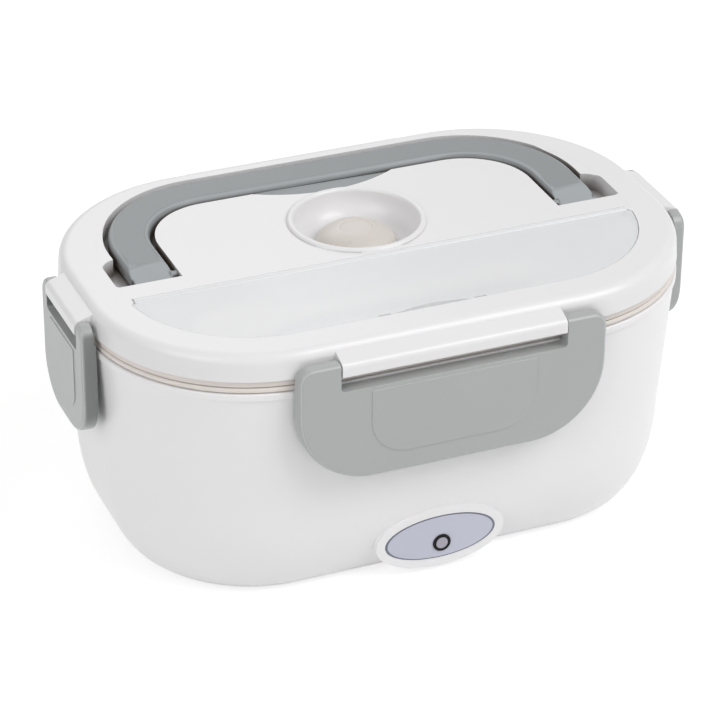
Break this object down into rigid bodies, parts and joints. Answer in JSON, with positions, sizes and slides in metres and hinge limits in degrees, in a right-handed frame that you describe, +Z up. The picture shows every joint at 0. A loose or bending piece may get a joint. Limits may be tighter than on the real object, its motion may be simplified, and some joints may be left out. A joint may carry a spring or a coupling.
{
  "type": "electric lunch box",
  "caption": "Heated oval lunch box with lift-out trays, clip-on lid, fold-down handle, steam vent and cutlery compartment.",
  "frame": {"origin": "on the surface under the feet, below the middle of the box", "axes": "+X along the long side, to the right seen from the front; -Y towards the front with the oval badge; +Z up"},
  "size_m": [0.234, 0.156, 0.104],
  "materials": {
    "shell_plastic": "satin moulded polypropylene, white",
    "lid_plastic": "satin moulded polypropylene, white",
    "well_plastic": "heat-resistant polypropylene",
    "heater_aluminium": "brushed sheet",
    "heater_block": "dark coated heating blocks",
    "spring_steel": "zinc plated",
    "sensor_body": "phenolic body",
    "wire_insulation": "silicone insulated wire",
    "inlet_plastic": "black heat-resistant plastic",
    "pin_metal": "nickel plated brass",
    "foot_rubber": "soft grey rubber",
    "badge_finish": "lavender-grey satin plate, bare",
    "bezel_plastic": "black",
    "lens_plastic": "clear indicator lens",
    "lamp_resin": "clear amber resin",
    "board_laminate": "glass laminate board",
    "tray_plastic": "beige food-safe polypropylene",
    "gasket_silicone": "beige silicone",
    "plug_silicone": "milky silicone",
    "cover_plastic": "pale translucent cover",
    "spoon_plastic": "ivory plastic",
    "handle_plastic": "blue-grey satin plastic",
    "latch_plastic": "grey satin plastic"
  },
  "bodies": {
    "base": {"outer_shell": "shell_plastic", "inner_well": "well_plastic", "heating_plate": "heater_aluminium", "ptc_heater": "heater_block", "heater_clamp": "spring_steel", "clamp_nuts": "spring_steel", "thermostat": "sensor_body", "thermal_fuse": "sensor_body", "wiring": "wire_insulation", "power_inlet": "inlet_plastic", "inlet_pins": "pin_metal", "bottom_cover": "shell_plastic", "cover_screws": "spring_steel", "feet": "foot_rubber", "badge_plate": "badge_finish", "led_bezel": "bezel_plastic", "led_lens": "lens_plastic", "led_lamp": "lamp_resin", "led_board": "board_laminate"},
    "main_tray": {"main_tray": "tray_plastic"},
    "side_tray": {"side_tray": "tray_plastic"},
    "lid": {"lid_shell": "lid_plastic", "lid_inner_panel": "lid_plastic", "lid_gasket": "gasket_silicone", "spoon": "spoon_plastic"},
    "vent_plug": {"vent_plug": "plug_silicone"},
    "cutlery_cover": {"cutlery_cover": "cover_plastic"},
    "handle": {"handle": "handle_plastic"},
    "latch_front": {"latch_front": "latch_plastic"},
    "latch_back": {"latch_back": "latch_plastic"},
    "latch_left": {"latch_left": "latch_plastic"},
    "latch_right": {"latch_right": "latch_plastic"}
  },
  "joints": [
    {"name": "tray_lift", "type": "slide", "parent": "base", "child": "main_tray", "axis": [0, 0, 1], "range_m": [0, 0.096]},
    {"name": "side_tray_lift", "type": "slide", "parent": "main_tray", "child": "side_tray", "axis": [0, 0, 1], "range_m": [0, 0.072]},
    {"name": "lid_lift", "type": "slide", "parent": "side_tray", "child": "lid", "axis": [0, 0, 1], "range_m": [0, 0.12]},
    {"name": "latch_front_hinge", "type": "hinge", "parent": "lid", "child": "latch_front", "pos_m": [0, -0.0752, 0.0966], "axis": [-1, 0, 0], "range_deg": [0, 105]},
    {"name": "latch_back_hinge", "type": "hinge", "parent": "lid", "child": "latch_back", "pos_m": [0, 0.0752, 0.0966], "axis": [1, 0, 0], "range_deg": [0, 105]},
    {"name": "latch_left_hinge", "type": "hinge", "parent": "lid", "child": "latch_left", "pos_m": [-0.1142, 0, 0.0966], "axis": [0, 1, 0], "range_deg": [0, 105]},
    {"name": "latch_right_hinge", "type": "hinge", "parent": "lid", "child": "latch_right", "pos_m": [0.1142, 0, 0.0966], "axis": [0, -1, 0], "range_deg": [0, 105]},
    {"name": "handle_hinge", "type": "hinge", "parent": "lid", "child": "handle", "pos_m": [0, 0.001, 0.1003], "axis": [1, 0, 0], "range_deg": [0, 90]},
    {"name": "cutlery_cover_hinge", "type": "hinge", "parent": "lid", "child": "cutlery_cover", "pos_m": [0, -0.0158, 0.1016], "axis": [-1, 0, 0], "range_deg": [0, 95]},
    {"name": "vent_plug_pull", "type": "slide", "parent": "lid", "child": "vent_plug", "axis": [0, 0, 1], "range_m": [0, 0.008]}
  ]
}
